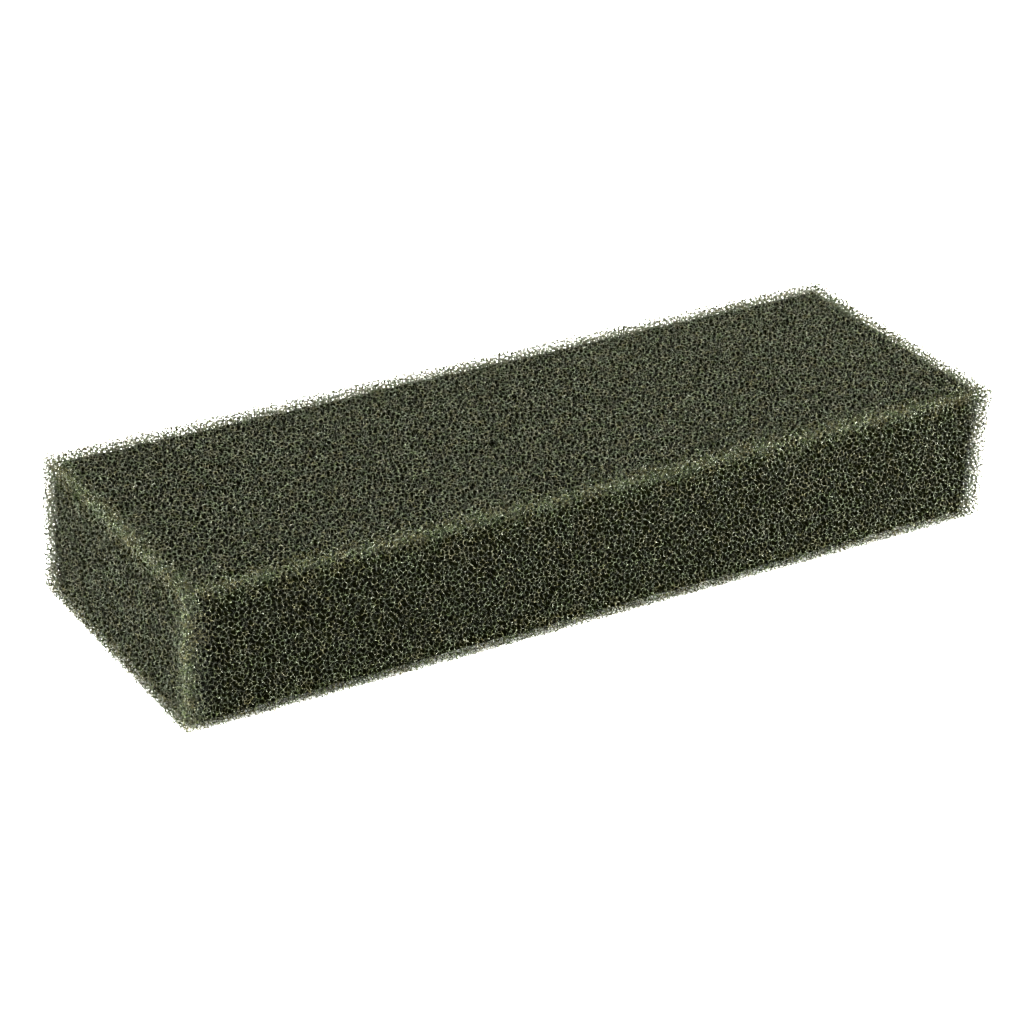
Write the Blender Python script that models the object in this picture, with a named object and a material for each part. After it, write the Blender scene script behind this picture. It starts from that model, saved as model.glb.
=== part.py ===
"""Rectangular brick of open-cell (reticulated) foam, cut square from a larger block."""

import bmesh
import bpy

# Overall size, in metres.
LENGTH = 0.150
WIDTH = 0.050
HEIGHT = 0.024

# Foam gives a little where the knife turns a corner, so no edge is quite sharp.
EDGE_EASE = 0.0008
EDGE_SEGMENTS = 3

FOAM_COLOUR = (0.050, 0.054, 0.033, 1.0)
FOAM_ROUGHNESS = 0.6


def clear_scene():
    for obj in list(bpy.data.objects):
        bpy.data.objects.remove(obj, do_unlink=True)


def foam_material():
    material = bpy.data.materials.new("foam")
    material.use_nodes = True
    shader = material.node_tree.nodes["Principled BSDF"]
    shader.inputs["Base Color"].default_value = FOAM_COLOUR
    shader.inputs["Roughness"].default_value = FOAM_ROUGHNESS
    return material


def eased_block(name, size, ease, segments):
    """A closed block that stands on Z = 0, centred on X and Y, with every edge and corner eased."""
    half_x = size[0] / 2
    half_y = size[1] / 2
    mesh = bpy.data.meshes.new(name)
    bm = bmesh.new()
    bmesh.ops.create_cube(bm, size=1.0)
    for vert in bm.verts:
        vert.co.x = half_x if vert.co.x > 0 else -half_x
        vert.co.y = half_y if vert.co.y > 0 else -half_y
        vert.co.z = size[2] if vert.co.z > 0 else 0.0
    bmesh.ops.bevel(
        bm,
        geom=bm.edges[:],
        offset=ease,
        offset_type="OFFSET",
        segments=segments,
        profile=0.5,
        affect="EDGES",
    )
    bmesh.ops.recalc_face_normals(bm, faces=bm.faces[:])
    bm.to_mesh(mesh)
    bm.free()
    obj = bpy.data.objects.new(name, mesh)
    bpy.context.scene.collection.objects.link(obj)
    return obj


def main():
    clear_scene()
    brick = eased_block("foam_brick", (LENGTH, WIDTH, HEIGHT), EDGE_EASE, EDGE_SEGMENTS)
    brick.data.materials.append(foam_material())


main()
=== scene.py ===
"""Looks of the open-cell foam brick: its net of struts, its heart painted dark as shade, the studio and the
camera.
"""

import itertools
import math

import bpy
import numpy as np
from mathutils import Matrix, Vector


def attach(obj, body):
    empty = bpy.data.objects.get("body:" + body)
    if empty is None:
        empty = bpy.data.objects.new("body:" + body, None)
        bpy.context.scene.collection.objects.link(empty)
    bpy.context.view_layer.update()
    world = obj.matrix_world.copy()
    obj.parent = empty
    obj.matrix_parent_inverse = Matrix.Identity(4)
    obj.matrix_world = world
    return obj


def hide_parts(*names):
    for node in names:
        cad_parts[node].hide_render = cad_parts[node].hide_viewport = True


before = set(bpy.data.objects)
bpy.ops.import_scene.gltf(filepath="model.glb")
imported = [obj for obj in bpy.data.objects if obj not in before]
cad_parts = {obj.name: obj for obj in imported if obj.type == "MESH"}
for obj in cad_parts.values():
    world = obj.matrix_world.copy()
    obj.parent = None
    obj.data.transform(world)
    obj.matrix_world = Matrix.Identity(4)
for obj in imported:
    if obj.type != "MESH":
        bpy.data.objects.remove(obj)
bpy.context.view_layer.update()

# ---------------------------------------------------------------- sizes, in metres

LENGTH = 0.150
WIDTH = 0.050
HEIGHT = 0.024
LOW = np.array([-LENGTH / 2, -WIDTH / 2, 0.0])
HIGH = np.array([LENGTH / 2, WIDTH / 2, HEIGHT])
CENTRE = (LOW + HIGH) / 2
HALF = (HIGH - LOW) / 2
# The knife leaves the edges eased by this radius.
EDGE_EASE = 0.0003

# One cell of the foam fills a cube of this side.
CELL = 0.00079
# Half thickness of a strut, measured from its middle line to one of its three ridges.
RIDGE = 0.000070
# Joints are thinner or thicker than that by up to this share.
RIDGE_SPREAD = 0.3
# The net is built this deep behind each face, down to a heart painted dark as shade.
DEPTH_LOW = np.array([0.00062, 0.00062, 0.00030])
DEPTH_HIGH = np.array([0.00062, 0.00062, 0.00062])
# Along the edges one sees through the net, so the heart's edges are cut off this far from the faces:
# inwards and inwards at an upright edge, inwards and down at a top edge, inwards and up at a bottom edge.
UPRIGHT_CUT = (0.0045, 0.0045)
TOP_CUT = (0.0041, 0.0026)
BOTTOM_CUT = (0.0020, 0.0016)
# How far a knife cut wanders between one strut and the next.
CUT_WANDER = 0.00020

# A scrap is held if it hangs on to a joint this deep.
ROOTED = 0.0008

# The heart of the block, deeper than the net: lumps this far apart and this high.
HEART_PITCH = 0.0016
HEART_LUMP = 0.00035
# Where its edges are cut off the lumps are higher, so that no straight line shows through the net.
EDGE_LUMP = 0.0005
# The net goes on behind those cut-off edges by this share, so that no gap shows between it and the heart.
NET_OVERLAP = 0.15

# ---------------------------------------------------------------- colours and shine

STRUT_DARK = (0.014, 0.0155, 0.0045, 1.0)
STRUT_LIGHT = (0.062, 0.067, 0.024, 1.0)
PATCH_GREEN = (0.87, 1.04, 1.0, 1.0)
PATCH_PLAIN = (1.0, 1.0, 1.0, 1.0)
PATCH_BROWN = (1.16, 0.97, 0.92, 1.0)
# Painted shade: UNLIT colours struts deep in the foam and the heart.
UNLIT = (0.0022, 0.0025, 0.0004, 1.0)
# Painted shade: the heart's lighter lumps.
LIGHTER_HEART_SHADE = (0.006, 0.0068, 0.0015, 1.0)
GLOSS_TINT = (0.95, 1.0, 0.93, 1.0)
SHINE = 1.0
GLOSSY, DULL = 0.20, 0.30
HEART_ROUGH = 0.9
# Noise sizes, as the number of lumps in a metre.
FLECKS = 1100.0
PATCHES = 420.0
# Light reaches struts down to the first depth, and hardly any reaches those below the second.
LIT_TO = 0.00001
DARK_FROM = 0.00068
# Within this distance of an edge, light also comes in from the side.
EDGE_REACH = 0.0045

# ---------------------------------------------------------------- studio and camera

FLOOR_HALF = 3.0
FLOOR_GAP = 0.0002
FLOOR_WHITE = (0.9, 0.9, 0.9, 1.0)
WHITE = (1.0, 1.0, 1.0, 1.0)
FLOOR_ROUGH = 0.8
# The floor glows but for a painted shadow under the block, a dark patch which starts this far in from its
# outline.
FLOOR_GLOW = 1.0
PAINTED_SHADOW_GLOW = 0.02
PAINTED_SHADOW_INSET = 0.0007
PAINTED_SHADOW_FADE = 0.0004
SKY_GLOW = 0.02
SOFTBOX_SIZE = 0.4
BACK_SIZE = 0.45
LEFT_PLACE = (-0.85, 0.10, 0.30)
BACK_PLACE = (-0.25, 0.85, 0.45)
FRONT_PLACE = (0.75, -0.60, 0.35)
LEFT_POWER = 36.0
BACK_POWER = 23.0
FRONT_POWER = 84.0
LIGHT_COLOUR = (1.0, 1.0, 0.96)
GAMMA = 0.68

CAMERA_PLACE = Vector((-0.24288, -0.36608, 0.24143))
CAMERA_HEADING = math.radians(56.82)
CAMERA_DIP = math.radians(28.095)
CAMERA_ROLL = math.radians(2.84)
CAMERA_LENS = 107.44
CAMERA_SENSOR = 36.0

# ---------------------------------------------------------------- how the foam is grown

SEED = 7
TILE_CELLS = 4000
# The repeating cube of foam is turned about X, Y and Z by these angles, so that no face shows the repeat.
TILE_TURN = (0.37, 0.53, 0.61)
RELAX_STEPS = 12
NEIGHBOURS = 26
# Until the net is laid through the block, its lengths are in cells. At each step, cells nearer
# than this push each other apart by this share of what they lack, but no further than this.
PUSH_REACH = 1.25
PUSH_SHARE = 0.22
PUSH_MOST = 0.25
# Cells this near may be neighbours.
NEIGHBOUR_REACH = 1.9
# The square of how far a joint may lie from the cells that meet in it.
JOINT_REACH_SQUARED = 1.6
# Four cells that span less volume than this have no joint.
FLATTEST = 1e-3
# A joint stands if no other cell is nearer to it, give or take this.
ROUNDING = 1e-7
NO_LENGTH = 1e-9
FAR_OFF = 1e9
ROWS_AT_ONCE = 1000
# No strut is longer than this.
STRUT_REACH = 2.5
# A scrap's hold on a deep joint is followed over this many struts.
HOLD_STEPS = 14
# The place where a strut is cut is found by halving it this many times.
HALVINGS = 10
# A cut is aslant by this share of a strut's length at most, and leaves this share of it at least.
SLANT = 0.3
LEAST_STUB = 0.02
FACES_PER_PIECE = 165_000
FACES_PER_STRUT = 9.0

# A joint's four cells are numbered 0 to 3, and it has a ridge between each two of them.
PAIRS = np.array([(0, 1), (0, 2), (0, 3), (1, 2), (1, 3), (2, 3)])
RIDGES = len(PAIRS)
SLOT_SUM = 0 + 1 + 2 + 3
PAIR_OF = np.full((4, 4), -1)
for number, (first, second) in enumerate(PAIRS):
    PAIR_OF[first, second] = PAIR_OF[second, first] = number


# ---------------------------------------------------------------- the cells

def neighbour_table(points, side, width):
    """The points in each bin of a periodic cube, and for each point the bins round it."""
    bins = max(3, int(side / width))
    place = np.floor(points / (side / bins)).astype(int) % bins
    key = (place[:, 0] * bins + place[:, 1]) * bins + place[:, 2]
    order = np.argsort(key, kind="stable")
    sorted_key = key[order]
    start = np.searchsorted(sorted_key, np.arange(bins**3))
    most = np.bincount(sorted_key, minlength=bins**3).max()
    table = np.full((bins**3, most), -1)
    table[sorted_key, np.arange(len(points)) - start[sorted_key]] = order
    steps = np.array(list(itertools.product((-1, 0, 1), repeat=3)))
    near = (place[:, None] + steps[None]) % bins
    near_key = (near[..., 0] * bins + near[..., 1]) * bins + near[..., 2]
    return table[near_key].reshape(len(points), -1)


def relaxed_points(count, rng):
    """Cell centres in a periodic cube, one to a unit of volume, pushed apart until they are evenly spread."""
    side = count ** (1 / 3)
    points = rng.random((count, 3)) * side
    for _ in range(RELAX_STEPS):
        others = neighbour_table(points, side, PUSH_REACH)
        away = points[:, None] - points[np.maximum(others, 0)]
        away -= side * np.round(away / side)
        distance = np.sqrt((away**2).sum(-1))
        close = (others >= 0) & (distance > NO_LENGTH) & (distance < PUSH_REACH)
        distance = np.where(close, distance, 1.0)
        push = np.where(close, (PUSH_REACH - distance) / distance, 0.0)
        move = PUSH_SHARE * (push[..., None] * away).sum(1)
        length = np.linalg.norm(move, axis=1, keepdims=True)
        move *= np.minimum(1.0, PUSH_MOST / np.maximum(length, NO_LENGTH))
        points = (points + move) % side
    return points, side


def nearest(points, side):
    """For each point its nearest others, the cube shift each is seen through, and the way to it."""
    count = len(points)
    others = neighbour_table(points, side, NEIGHBOUR_REACH)
    number = np.empty((count, NEIGHBOURS), int)
    shift = np.empty((count, NEIGHBOURS, 3), int)
    way = np.empty((count, NEIGHBOURS, 3))
    for a in range(0, count, ROWS_AT_ONCE):
        b = min(a + ROWS_AT_ONCE, count)
        here = others[a:b]
        gap = points[np.maximum(here, 0)] - points[a:b, None]
        moved = -np.round(gap / side)
        gap = gap + side * moved
        far = (gap**2).sum(-1)
        far[(here < 0) | (here == np.arange(a, b)[:, None])] = FAR_OFF
        best = np.argpartition(far, NEIGHBOURS, axis=1)[:, :NEIGHBOURS]
        best = np.take_along_axis(best, np.take_along_axis(far, best, 1).argsort(1), 1)
        number[a:b] = np.take_along_axis(here, best, 1)
        shift[a:b] = np.take_along_axis(moved, best[..., None], 1)
        way[a:b] = np.take_along_axis(gap, best[..., None], 1)
    return number, shift, way


def joints_between_cells(points, side):
    """The points where four cells meet, with the four cells and the cube shift each is seen through."""
    number, shift, way = nearest(points, side)
    triples = {}
    places, cells, shifts = [], [], []
    for i in range(len(points)):
        later = np.nonzero(number[i] > i)[0]
        if len(later) < 3:
            continue
        if len(later) not in triples:
            triples[len(later)] = np.array(list(itertools.combinations(range(len(later)), 3)))
        chosen = later[triples[len(later)]]
        a, b, c = way[i][chosen[:, 0]], way[i][chosen[:, 1]], way[i][chosen[:, 2]]
        b_c = np.cross(b, c)
        volume = (a * b_c).sum(1)
        solid = np.abs(volume) > FLATTEST
        chosen, a, b, c, b_c, volume = (v[solid] for v in (chosen, a, b, c, b_c, volume))
        centre = (a**2).sum(1)[:, None] * b_c
        centre += (b**2).sum(1)[:, None] * np.cross(c, a)
        centre += (c**2).sum(1)[:, None] * np.cross(a, b)
        centre /= 2 * volume[:, None]
        near = (centre**2).sum(1) < JOINT_REACH_SQUARED
        chosen, centre = chosen[near], centre[near]
        free = (2 * centre @ way[i].T <= (way[i] ** 2).sum(1) + ROUNDING).all(1)
        chosen, centre = chosen[free], centre[free]
        places.append(points[i] + centre)
        cells.append(np.column_stack([np.full(len(chosen), i), number[i][chosen]]))
        seen = np.zeros((len(chosen), 4, 3), int)
        seen[:, 1:] = shift[i][chosen]
        shifts.append(seen)
    return np.concatenate(places), np.concatenate(cells), np.concatenate(shifts)


def struts_between_joints(cells, shifts):
    """Each strut as its two joints, the cube shift from one to the other, and its three cells at each end."""
    keys, owners, slots, bases = [], [], [], []
    for left_out in range(4):
        slot = np.array([s for s in range(4) if s != left_out])
        three = cells[:, slot]
        order = np.argsort(three, axis=1, kind="stable")
        slot = slot[order]
        three = np.take_along_axis(cells, slot, 1)
        seen = np.take_along_axis(shifts, slot[..., None], 1)
        key = three[:, 0]
        key = (key * TILE_CELLS + three[:, 1]) * TILE_CELLS + three[:, 2]
        # Seen from the first cell the others are shifted by -2 to 2 cubes, one of five numbers.
        for other in (1, 2):
            relative = seen[:, other] - seen[:, 0] + 2
            for axis in range(3):
                key = key * 5 + relative[:, axis]
        keys.append(key)
        owners.append(np.arange(len(cells)))
        slots.append(slot)
        bases.append(seen[:, 0])
    keys, owners = np.concatenate(keys), np.concatenate(owners)
    slots, bases = np.concatenate(slots), np.concatenate(bases)
    order = np.argsort(keys, kind="stable")
    same = np.nonzero(keys[order][1:] == keys[order][:-1])[0]
    first, second = order[same], order[same + 1]
    return owners[first], owners[second], bases[first] - bases[second], slots[first], slots[second]


def unit(vectors):
    """The vectors at length 1."""
    return vectors / np.maximum(np.linalg.norm(vectors, axis=-1, keepdims=True), 1e-12)


# ---------------------------------------------------------------- the net

def outside(points):
    """How far points lie outside the block with its eased edges; negative within it."""
    over = np.abs(points - CENTRE) - (HALF - EDGE_EASE)
    return np.linalg.norm(np.maximum(over, 0.0), axis=-1) + np.minimum(over.max(-1), 0.0) - EDGE_EASE


def below_faces(points):
    """How far points lie below the nearest of each pair of faces."""
    return HALF - np.abs(points - CENTRE)


def edge_cuts(points):
    """For each pair of axes, the two axes and how far in the heart's edge is cut off along each."""
    high = (points[..., 2] > CENTRE[2])[..., None]
    upright = np.broadcast_to(UPRIGHT_CUT, (*points.shape[:-1], 2))
    level = np.where(high, TOP_CUT, BOTTOM_CUT)
    return ((0, 1), upright), ((0, 2), level), ((1, 2), level)


def in_heart(points):
    """Whether points lie so deep that the net isn't built there."""
    found = ((points > LOW + DEPTH_LOW) & (points < HIGH - DEPTH_HIGH)).all(-1)
    below = below_faces(points)
    for axes, cuts in edge_cuts(points):
        found &= (below[..., list(axes)] / cuts).sum(-1) > 1 + NET_OVERLAP
    return found


def repeating_foam(rng):
    """The joints, struts and ridges of a periodic cube of foam, in cells."""
    points, side = relaxed_points(TILE_CELLS, rng)
    joints, cells, shifts = joints_between_cells(points, side)
    to_cells = unit(points[cells] + side * shifts - joints[:, None])
    ridges = unit(to_cells[:, PAIRS[:, 0]] + to_cells[:, PAIRS[:, 1]])
    ridges *= RIDGE * rng.uniform(1 - RIDGE_SPREAD, 1 + RIDGE_SPREAD, (len(joints), 1, 1))
    return side, joints, to_cells, ridges, struts_between_joints(cells, shifts)


def tiles_over_block(turn, tile_side):
    """The first and last place, along each axis, of the turned cubes that cover the block."""
    corner = np.array(list(itertools.product(*zip(LOW, HIGH))))
    in_tiles = corner @ turn / tile_side
    return np.floor(in_tiles.min(0)).astype(int) - 1, np.ceil(in_tiles.max(0)).astype(int) + 1


def struts_in_tile(tile, side, joints, struts, turn):
    """The struts of one cube that are wanted: the places of their ends, and which they are."""
    strut_a, strut_b, step = struts
    place = ((joints + side * tile) * CELL) @ turn.T
    if (outside(place) > STRUT_REACH * CELL).all():
        return None
    place_a = place[strut_a]
    place_b = ((joints[strut_b] + side * (tile + step)) * CELL) @ turn.T
    within = (outside(place_a) < 0) | (outside(place_b) < 0)
    kept = np.nonzero(within & ~(in_heart(place_a) & in_heart(place_b)))[0]
    if not len(kept):
        return None
    return place_a[kept], place_b[kept], kept


def build_net():
    """The net of struts over the whole block, with the struts that cross its surface still whole."""
    side, joints, to_cells, ridges, foam = repeating_foam(np.random.default_rng(SEED))
    strut_a, strut_b, step, slot_a, slot_b = foam
    about_x, about_y, about_z = (Matrix.Rotation(angle, 3, axis) for angle, axis in zip(TILE_TURN, "XYZ"))
    turn = np.array(about_x @ about_y @ about_z)
    first_tile, last_tile = tiles_over_block(turn, CELL * side)
    spans = last_tile - first_tile + 1
    count = len(joints)

    rows = []
    for tile in itertools.product(*[range(a, b + 1) for a, b in zip(first_tile, last_tile)]):
        tile = np.array(tile)
        found = struts_in_tile(tile, side, joints, (strut_a, strut_b, step), turn)
        if found is None:
            continue
        place_a, place_b, kept = found
        tile_a = tile - first_tile
        tile_b = tile_a + step[kept]
        number_a = (tile_a[0] * spans[1] + tile_a[1]) * spans[2] + tile_a[2]
        number_b = (tile_b[:, 0] * spans[1] + tile_b[:, 1]) * spans[2] + tile_b[:, 2]
        rows.append((
            number_a * count + strut_a[kept],
            number_b * count + strut_b[kept],
            place_a,
            place_b,
            slot_a[kept],
            slot_b[kept],
        ))
    key_a, key_b, place_a, place_b, slot_a, slot_b = (np.concatenate(c) for c in zip(*rows))
    keys, index = np.unique(np.concatenate([key_a, key_b]), return_inverse=True)
    a, b = index[: len(key_a)], index[len(key_a):]
    place = np.empty((len(keys), 3))
    place[a] = place_a
    place[b] = place_b
    local = keys % count
    return dict(
        a=a,
        b=b,
        slot_a=slot_a,
        slot_b=slot_b,
        place=place,
        ridge=ridges[local] @ turn.T,
        toward=to_cells[local] @ turn.T,
    )


def drop_crumbs(net):
    """Leaves out the scraps near a cut face that hang on to nothing, and marks the struts that are cut."""
    place, a, b = net["place"], net["a"], net["b"]
    within = outside(place) < 0
    held = outside(place) < -ROOTED
    whole = within[a] & within[b]
    for _ in range(HOLD_STEPS):
        reached = np.zeros(len(place), bool)
        reached[a[whole & held[b]]] = True
        reached[b[whole & held[a]]] = True
        held |= reached
    kept = (held[a] & within[a]) | (held[b] & within[b])
    for name in ("a", "b", "slot_a", "slot_b"):
        net[name] = net[name][kept]
    # A strut that leaves the block starts at its inner joint.
    a, b = net["a"], net["b"]
    swap = ~within[a]
    net["a"], net["b"] = np.where(swap, b, a), np.where(swap, a, b)
    slot_a, slot_b = net["slot_a"], net["slot_b"]
    net["slot_a"] = np.where(swap[:, None], slot_b, slot_a)
    net["slot_b"] = np.where(swap[:, None], slot_a, slot_b)
    net["cut"] = ~(within[a] & within[b])
    return net


def three_ridges(slots):
    """The numbers of the three ridges that a strut shares with a joint, in the order of its cells."""
    return np.stack([PAIR_OF[slots[:, k], slots[:, (k + 1) % 3]] for k in range(3)], 1)


def turned_out(corners, faces, away):
    """Flips each face whose normal points against away."""
    normal = np.cross(corners[:, 1] - corners[:, 0], corners[:, 2] - corners[:, 0])
    wrong = (normal * away).sum(1) < 0
    faces[wrong] = faces[wrong, ::-1]
    return faces


def cut_share(start, stop, wander):
    """The share of the way from start to stop at which a line comes within wander of the block's surface."""
    near, far = np.zeros(start.shape[:-1]), np.ones(start.shape[:-1])
    for _ in range(HALVINGS):
        half_way = (near + far) / 2
        out = outside(start + half_way[..., None] * (stop - start)) > -wander
        near, far = np.where(out, near, half_way), np.where(out, half_way, far)
    return near


def cut_ends(start, stop, full_start, full_stop):
    """Where each strut's ridges are cut off: near where its middle line is, as the knife wanders."""
    wander = np.random.default_rng(SEED + 1).random(len(start)) * CUT_WANDER
    t_middle = cut_share(start, stop, wander)
    t_side = cut_share(full_start, full_stop, wander[:, None])
    least = np.maximum(t_middle - SLANT, LEAST_STUB)
    most = np.minimum(t_middle + SLANT, 1.0)
    t_side = np.clip(t_side, least[:, None], most[:, None])
    return full_start + t_side[..., None] * (full_stop - full_start)


def strut_sides(at_near, at_far, full_near, full_far):
    """The three long faces of each strut, turned away from its middle line."""
    quads = []
    middle = (full_near.mean(1) + full_far.mean(1)) / 2
    for k in range(3):
        m = (k + 1) % 3
        face = np.stack([at_near[:, k], at_near[:, m], at_far[:, m], at_far[:, k]], 1)
        corners = np.stack([full_near[:, k], full_near[:, m], full_far[:, m]], 1)
        away = (full_near[:, k] + full_near[:, m] + full_far[:, m] + full_far[:, k]) / 4 - middle
        quads.append(turned_out(corners, face, away))
    return np.concatenate(quads)


def joint_faces(body, toward, used):
    """A small face of each joint towards each cell, and one over each place where a strut isn't."""
    triangles = []
    for slot in range(4):
        rest = [other for other in range(4) if other != slot]
        numbers = np.array([PAIR_OF[slot, r] for r in rest])
        face = np.arange(len(body))[:, None] * RIDGES + numbers
        triangles.append(turned_out(body[:, numbers], face, toward[:, slot]))
        numbers = np.array([PAIR_OF[rest[0], rest[1]], PAIR_OF[rest[1], rest[2]], PAIR_OF[rest[2], rest[0]]])
        bare = ~used[:, slot]
        face = np.arange(len(body))[bare][:, None] * RIDGES + numbers
        triangles.append(turned_out(body[bare][:, numbers], face, -toward[bare, slot]))
    return triangles


def piece_mesh(name, net, chosen):
    """A closed mesh of the chosen struts and the joints at their ends."""
    a, b, cut = net["a"][chosen], net["b"][chosen], net["cut"][chosen]
    slot_a, slot_b = net["slot_a"][chosen], net["slot_b"][chosen]
    joint = np.unique(np.concatenate([a, b[~cut]]))
    spot = np.full(len(net["place"]), -1)
    spot[joint] = np.arange(len(joint))
    body = net["place"][joint][:, None] + net["ridge"][joint]

    side_a, side_b = three_ridges(slot_a), three_ridges(slot_b)
    at_a = spot[a][:, None] * RIDGES + side_a
    at_b = spot[b][:, None] * RIDGES + side_b
    full_a = net["place"][a][:, None] + net["ridge"][a[:, None], side_a]
    full_b = net["place"][b][:, None] + net["ridge"][b[:, None], side_b]
    end = cut_ends(net["place"][a], net["place"][b], full_a, full_b)
    at_end = len(joint) * RIDGES + (np.cumsum(cut) - 1)[:, None] * 3 + np.arange(3)
    far = np.where(cut[:, None], at_end, at_b)
    full_far = np.where(cut[:, None, None], end, full_b)
    quads = strut_sides(at_a, far, full_a, full_far)
    tips = turned_out(end[cut], at_end[cut].copy(), end[cut].mean(1) - full_a[cut].mean(1))

    # The cell that isn't one of a strut's three tells which of its joint's four places it takes.
    used = np.zeros((len(joint), 4), bool)
    used[spot[a], SLOT_SUM - slot_a.sum(1)] = True
    used[spot[b[~cut]], SLOT_SUM - slot_b[~cut].sum(1)] = True
    triangles = [tips, *joint_faces(body, net["toward"][joint], used)]
    vertices = np.concatenate([body.reshape(-1, 3), end[cut].reshape(-1, 3)])
    return mesh_from(name, vertices, quads, np.concatenate(triangles))


def mesh_from(name, vertices, quads, triangles):
    """A smooth-shaded mesh of quads and triangles over the vertices."""
    mesh = bpy.data.meshes.new(name)
    mesh.vertices.add(len(vertices))
    mesh.vertices.foreach_set("co", vertices.astype(np.float32).ravel())
    loops = np.concatenate([quads.ravel(), triangles.ravel()]).astype(np.int32)
    mesh.loops.add(len(loops))
    mesh.loops.foreach_set("vertex_index", loops)
    starts = np.concatenate([
        np.arange(len(quads)) * 4,
        len(quads) * 4 + np.arange(len(triangles)) * 3,
    ]).astype(np.int32)
    mesh.polygons.add(len(starts))
    mesh.polygons.foreach_set("loop_start", starts)
    mesh.update(calc_edges=True)
    mesh.polygons.foreach_set("use_smooth", np.ones(len(starts), bool))
    mesh.update()
    return mesh


def linked(name, mesh, material):
    """An object in the scene, of the mesh in the material."""
    obj = bpy.data.objects.new(name, mesh)
    bpy.context.scene.collection.objects.link(obj)
    mesh.materials.append(material)
    return obj


# ---------------------------------------------------------------- materials

def new_material(name):
    """A material, with its node tree and its shader."""
    material = bpy.data.materials.new(name)
    material.use_nodes = True
    return material, material.node_tree, material.node_tree.nodes["Principled BSDF"]


def math_node(tree, operation, first, second=None, third=None):
    """The output of a Math node on sockets or plain numbers."""
    node = tree.nodes.new("ShaderNodeMath")
    node.operation = operation
    for socket, value in zip(node.inputs, (first, second, third)):
        if value is None:
            continue
        if isinstance(value, (int, float)):
            socket.default_value = value
        else:
            tree.links.new(value, socket)
    return node.outputs[0]


def daylight_group():
    """A mask: 1 on struts that light reaches, falling to 0 deep in the foam, less quickly near an edge."""
    group = bpy.data.node_groups.new("daylight", "ShaderNodeTree")
    for name in ("Lit To", "Dark From", "Edge Reach"):
        group.interface.new_socket(name, in_out="INPUT", socket_type="NodeSocketFloat")
    group.interface.new_socket("Daylight", in_out="OUTPUT", socket_type="NodeSocketFloat")
    given = group.nodes.new("NodeGroupInput")
    place = group.nodes.new("ShaderNodeTexCoord")
    split = group.nodes.new("ShaderNodeSeparateXYZ")
    group.links.new(place.outputs["Object"], split.inputs[0])
    below = []
    for axis in range(3):
        off = math_node(group, "SUBTRACT", split.outputs[axis], float(CENTRE[axis]))
        below.append(math_node(group, "SUBTRACT", float(HALF[axis]), math_node(group, "ABSOLUTE", off)))
    lesser = math_node(group, "MINIMUM", below[0], below[1])
    greater = math_node(group, "MAXIMUM", below[0], below[1])
    depth = math_node(group, "MINIMUM", lesser, below[2])
    edge = math_node(group, "MAXIMUM", lesser, math_node(group, "MINIMUM", greater, below[2]))
    # Painted light: within Edge Reach of an edge the painted shade sets in deeper, so struts there stay
    # lighter.
    from_side = math_node(group, "DIVIDE", edge, given.outputs["Edge Reach"])
    from_side = math_node(group, "MINIMUM", from_side, 1.0)
    from_side = math_node(group, "MULTIPLY", from_side, from_side)
    fall = group.nodes.new("ShaderNodeMapRange")
    fall.interpolation_type = "SMOOTHSTEP"
    fall.inputs["To Min"].default_value = 1.0
    fall.inputs["To Max"].default_value = 0.0
    group.links.new(math_node(group, "MULTIPLY", depth, from_side), fall.inputs["Value"])
    group.links.new(given.outputs["Lit To"], fall.inputs["From Min"])
    group.links.new(given.outputs["Dark From"], fall.inputs["From Max"])
    out = group.nodes.new("NodeGroupOutput")
    group.links.new(fall.outputs[0], out.inputs[0])
    return group


def noise_node(tree, scale, detail):
    """The value of noise that stays with the foam."""
    place = tree.nodes.new("ShaderNodeTexCoord")
    noise = tree.nodes.new("ShaderNodeTexNoise")
    noise.inputs["Scale"].default_value = scale
    noise.inputs["Detail"].default_value = detail
    tree.links.new(place.outputs["Object"], noise.inputs["Vector"])
    return noise.outputs["Fac"]


def ramp_node(tree, value, *stops):
    """A colour ramp over (position, colour) stops."""
    ramp = tree.nodes.new("ShaderNodeValToRGB")
    elements = ramp.color_ramp.elements
    while len(elements) < len(stops):
        elements.new(0.5)
    for element, (position, colour) in zip(elements, stops):
        element.position = position
        element.color = colour
    tree.links.new(value, ramp.inputs["Fac"])
    return ramp.outputs["Color"]


def mix_node(tree, blend, share, first, second):
    """A colour mix of two sockets or plain colours."""
    mix = tree.nodes.new("ShaderNodeMix")
    mix.data_type = "RGBA"
    mix.blend_type = blend
    sides = [socket for socket in mix.inputs if socket.type == "RGBA"]
    for socket, value in zip((mix.inputs["Factor"], *sides), (share, first, second)):
        if isinstance(value, (float, tuple)):
            socket.default_value = value
        else:
            tree.links.new(value, socket)
    return next(socket for socket in mix.outputs if socket.type == "RGBA")


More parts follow.
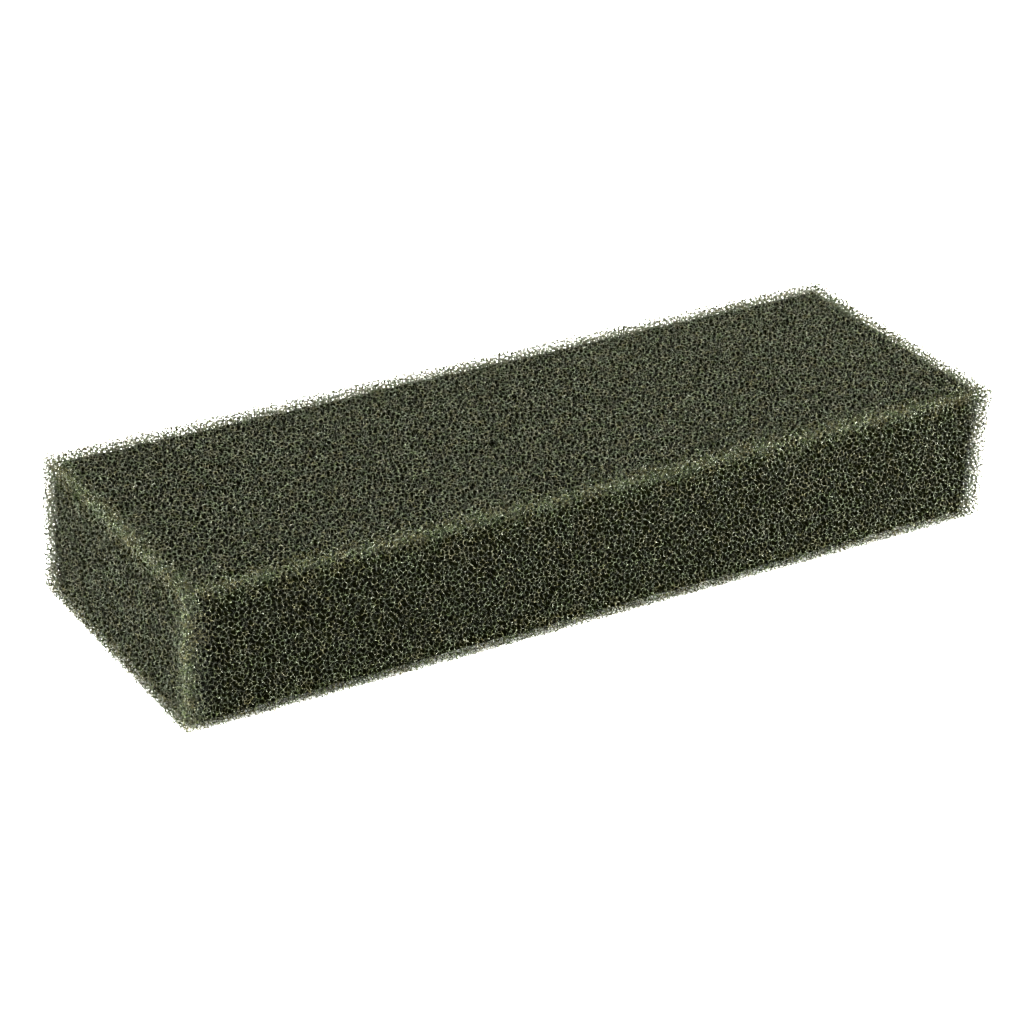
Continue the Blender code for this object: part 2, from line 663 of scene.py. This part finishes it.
def strut_material():
    """Glossy olive struts with flecks and faint patches, dark where no light reaches them."""
    material, tree, shader = new_material("foam_strut")
    daylight = tree.nodes.new("ShaderNodeGroup")
    daylight.node_tree = daylight_group()
    daylight.inputs["Lit To"].default_value = LIT_TO
    daylight.inputs["Dark From"].default_value = DARK_FROM
    daylight.inputs["Edge Reach"].default_value = EDGE_REACH
    fleck = noise_node(tree, FLECKS, detail=2.0)
    patch = noise_node(tree, PATCHES, detail=1.0)
    colour = ramp_node(tree, fleck, (0.3, STRUT_DARK), (0.7, STRUT_LIGHT))
    tint = ramp_node(tree, patch, (0.38, PATCH_GREEN), (0.5, PATCH_PLAIN), (0.62, PATCH_BROWN))
    colour = mix_node(tree, "MULTIPLY", 1.0, colour, tint)
    # Painted shade: the daylight mask turns the struts' colour to UNLIT deep in the foam.
    colour = mix_node(tree, "MIX", daylight.outputs[0], UNLIT, colour)
    tree.links.new(colour, shader.inputs["Base Color"])
    gloss = math_node(tree, "MULTIPLY_ADD", fleck, DULL - GLOSSY, GLOSSY - 1.0)
    rough = math_node(tree, "MULTIPLY_ADD", daylight.outputs[0], gloss, 1.0)
    tree.links.new(rough, shader.inputs["Roughness"])
    shader.inputs["Specular IOR Level"].default_value = SHINE
    shader.inputs["Specular Tint"].default_value = GLOSS_TINT
    return material


def painted_shade_heart_material():
    """Painted shade for the deep foam: near black and matt, with faint lumps."""
    material, tree, shader = new_material("foam_heart_painted_shade")
    lump = noise_node(tree, FLECKS, detail=2.0)
    colour = ramp_node(tree, lump, (0.4, UNLIT), (0.7, LIGHTER_HEART_SHADE))
    tree.links.new(colour, shader.inputs["Base Color"])
    shader.inputs["Specular IOR Level"].default_value = 0.0
    shader.inputs["Roughness"].default_value = HEART_ROUGH
    return material


# ---------------------------------------------------------------- the pieces

def box_faces(counts):
    """The four lattice corners of each square on the sides of a box, in order round the square."""
    turns = (((0, 0), (0, 1), (1, 1), (1, 0)), ((0, 0), (1, 0), (1, 1), (0, 1)))
    quads = []
    for axis in range(3):
        u, v = (axis + 1) % 3, (axis + 2) % 3
        at_u, at_v = np.meshgrid(np.arange(counts[u]), np.arange(counts[v]), indexing="ij")
        for side, steps in zip((0, counts[axis]), turns):
            corner = np.full((*at_u.shape, 4, 3), side)
            for number, (step_u, step_v) in enumerate(steps):
                corner[..., number, u] = at_u + step_u
                corner[..., number, v] = at_v + step_v
            quads.append(corner.reshape(-1, 4, 3))
    return np.concatenate(quads)


def heart_mesh(name):
    """The heart: a closed block with cut-off edges, whose faces are pushed in by small lumps."""
    low, high = LOW + DEPTH_LOW, HIGH - DEPTH_HIGH
    counts = np.round((high - low) / HEART_PITCH).astype(int)
    lattice, index = np.unique(box_faces(counts).reshape(-1, 3), axis=0, return_inverse=True)
    inward = (lattice == 0).astype(float) - (lattice == counts)
    rng = np.random.default_rng(SEED + 2)
    lumps = HEART_LUMP * rng.random(lattice.shape)
    vertices = low + (high - low) * lattice / counts
    to_middle = np.where(vertices < CENTRE, 1.0, -1.0)
    edge_lumps = EDGE_LUMP * rng.random(len(lattice))
    for _ in range(2):
        for axes, cuts in edge_cuts(vertices):
            axes = list(axes)
            short = np.maximum(0.0, 1 - (below_faces(vertices)[:, axes] / cuts).sum(-1)) / 2
            vertices[:, axes] += to_middle[:, axes] * cuts * short[:, None]
            vertices[:, axes] += to_middle[:, axes] * np.where(short > 0.0, edge_lumps, 0.0)[:, None]
            edge_lumps = np.where(short > 0.0, 0.0, edge_lumps)
    vertices += inward * lumps
    return mesh_from(name, vertices, index.reshape(-1, 4), np.zeros((0, 3), int))


def foam_piece(name, mesh, material):
    """One piece of the foam, in place of the plain block."""
    piece = linked(name, mesh, material)
    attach(piece, "root")
    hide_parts("foam_brick")


def build_foam():
    """The net in pieces along the block, each with as many struts, and the heart behind it."""
    net = drop_crumbs(build_net())
    material = strut_material()
    middle = (net["place"][net["a"], 0] + net["place"][net["b"], 0]) / 2
    order = np.argsort(middle, kind="stable")
    pieces_wanted = math.ceil(len(order) * FACES_PER_STRUT / FACES_PER_PIECE)
    for number, chosen in enumerate(np.array_split(order, pieces_wanted), 1):
        name = f"foam_net_{number:02d}"
        foam_piece(name, piece_mesh(name, net, chosen), material)
    # The deep cells, where no light comes back from, are one dark body of painted shade.
    foam_piece("foam_heart_painted_shade", heart_mesh("foam_heart_painted_shade"), painted_shade_heart_material())


# ---------------------------------------------------------------- floor, lights and camera

def floor_material():
    """White, and glowing softly but for a painted shadow where the foam lies on it."""
    material, tree, shader = new_material("floor")
    shader.inputs["Base Color"].default_value = FLOOR_WHITE
    shader.inputs["Roughness"].default_value = FLOOR_ROUGH
    shader.inputs["Emission Color"].default_value = WHITE
    place = tree.nodes.new("ShaderNodeTexCoord")
    split = tree.nodes.new("ShaderNodeSeparateXYZ")
    tree.links.new(place.outputs["Object"], split.inputs[0])
    past = []
    for axis in range(2):
        off = math_node(tree, "ABSOLUTE", split.outputs[axis])
        past.append(math_node(tree, "SUBTRACT", off, float(HALF[axis]) - PAINTED_SHADOW_INSET))
    # Painted shadow: inside the block's outline the glow falls to almost nothing.
    glow = tree.nodes.new("ShaderNodeMapRange")
    glow.interpolation_type = "SMOOTHSTEP"
    glow.inputs["From Min"].default_value = -PAINTED_SHADOW_FADE
    glow.inputs["From Max"].default_value = 0.0
    glow.inputs["To Min"].default_value = PAINTED_SHADOW_GLOW
    glow.inputs["To Max"].default_value = FLOOR_GLOW
    tree.links.new(math_node(tree, "MAXIMUM", past[0], past[1]), glow.inputs["Value"])
    tree.links.new(glow.outputs[0], shader.inputs["Emission Strength"])
    return material


def build_floor():
    """A pale floor just under the block."""
    corners = np.array([(x, y, 0.0) for x, y in ((-1, -1), (1, -1), (1, 1), (-1, 1))]) * FLOOR_HALF
    corners[:, 2] = -FLOOR_GAP
    mesh = mesh_from("floor", corners, np.array([(0, 1, 2, 3)]), np.zeros((0, 3), int))
    floor = linked("floor", mesh, floor_material())


def build_sky():
    """A white backdrop that hardly lights the foam."""
    world = bpy.data.worlds.new("studio")
    bpy.context.scene.world = world
    world.use_nodes = True
    tree = world.node_tree
    tree.nodes["Background"].inputs["Color"].default_value = WHITE
    seen = tree.nodes.new("ShaderNodeLightPath")
    glow = tree.nodes.new("ShaderNodeMapRange")
    glow.inputs["To Min"].default_value = SKY_GLOW
    glow.inputs["To Max"].default_value = 1.0
    tree.links.new(seen.outputs["Is Camera Ray"], glow.inputs["Value"])
    tree.links.new(glow.outputs[0], tree.nodes["Background"].inputs["Strength"])


def softbox(name, place, size, power):
    """A square soft light that looks at the object."""
    light = bpy.data.lights.new(name, "AREA")
    light.size = size
    light.energy = power
    light.color = LIGHT_COLOUR
    obj = bpy.data.objects.new(name, light)
    obj.location = place
    obj.rotation_euler = (-Vector(place)).to_track_quat("-Z", "Y").to_euler()
    bpy.context.scene.collection.objects.link(obj)


def build_camera():
    """The camera, from its place, heading, dip and roll."""
    forward = Vector((
        math.cos(CAMERA_DIP) * math.cos(CAMERA_HEADING),
        math.cos(CAMERA_DIP) * math.sin(CAMERA_HEADING),
        -math.sin(CAMERA_DIP),
    ))
    level = Vector((math.sin(CAMERA_HEADING), -math.cos(CAMERA_HEADING), 0.0))
    upright = level.cross(forward)
    right = level * math.cos(CAMERA_ROLL) + upright * math.sin(CAMERA_ROLL)
    up = upright * math.cos(CAMERA_ROLL) - level * math.sin(CAMERA_ROLL)
    lens = bpy.data.cameras.new("camera")
    lens.lens = CAMERA_LENS
    lens.sensor_width = CAMERA_SENSOR
    camera = bpy.data.objects.new("camera", lens)
    camera.matrix_world = Matrix((
        (right.x, up.x, -forward.x, CAMERA_PLACE.x),
        (right.y, up.y, -forward.y, CAMERA_PLACE.y),
        (right.z, up.z, -forward.z, CAMERA_PLACE.z),
        (0, 0, 0, 1),
    ))
    bpy.context.scene.collection.objects.link(camera)
    bpy.context.scene.camera = camera


build_foam()
build_floor()
build_sky()
softbox("left_softbox", LEFT_PLACE, SOFTBOX_SIZE, LEFT_POWER)
softbox("back_softbox", BACK_PLACE, BACK_SIZE, BACK_POWER)
softbox("front_softbox", FRONT_PLACE, SOFTBOX_SIZE, FRONT_POWER)
build_camera()
bpy.context.scene.view_settings.view_transform = "Standard"
bpy.context.scene.view_settings.gamma = GAMMA
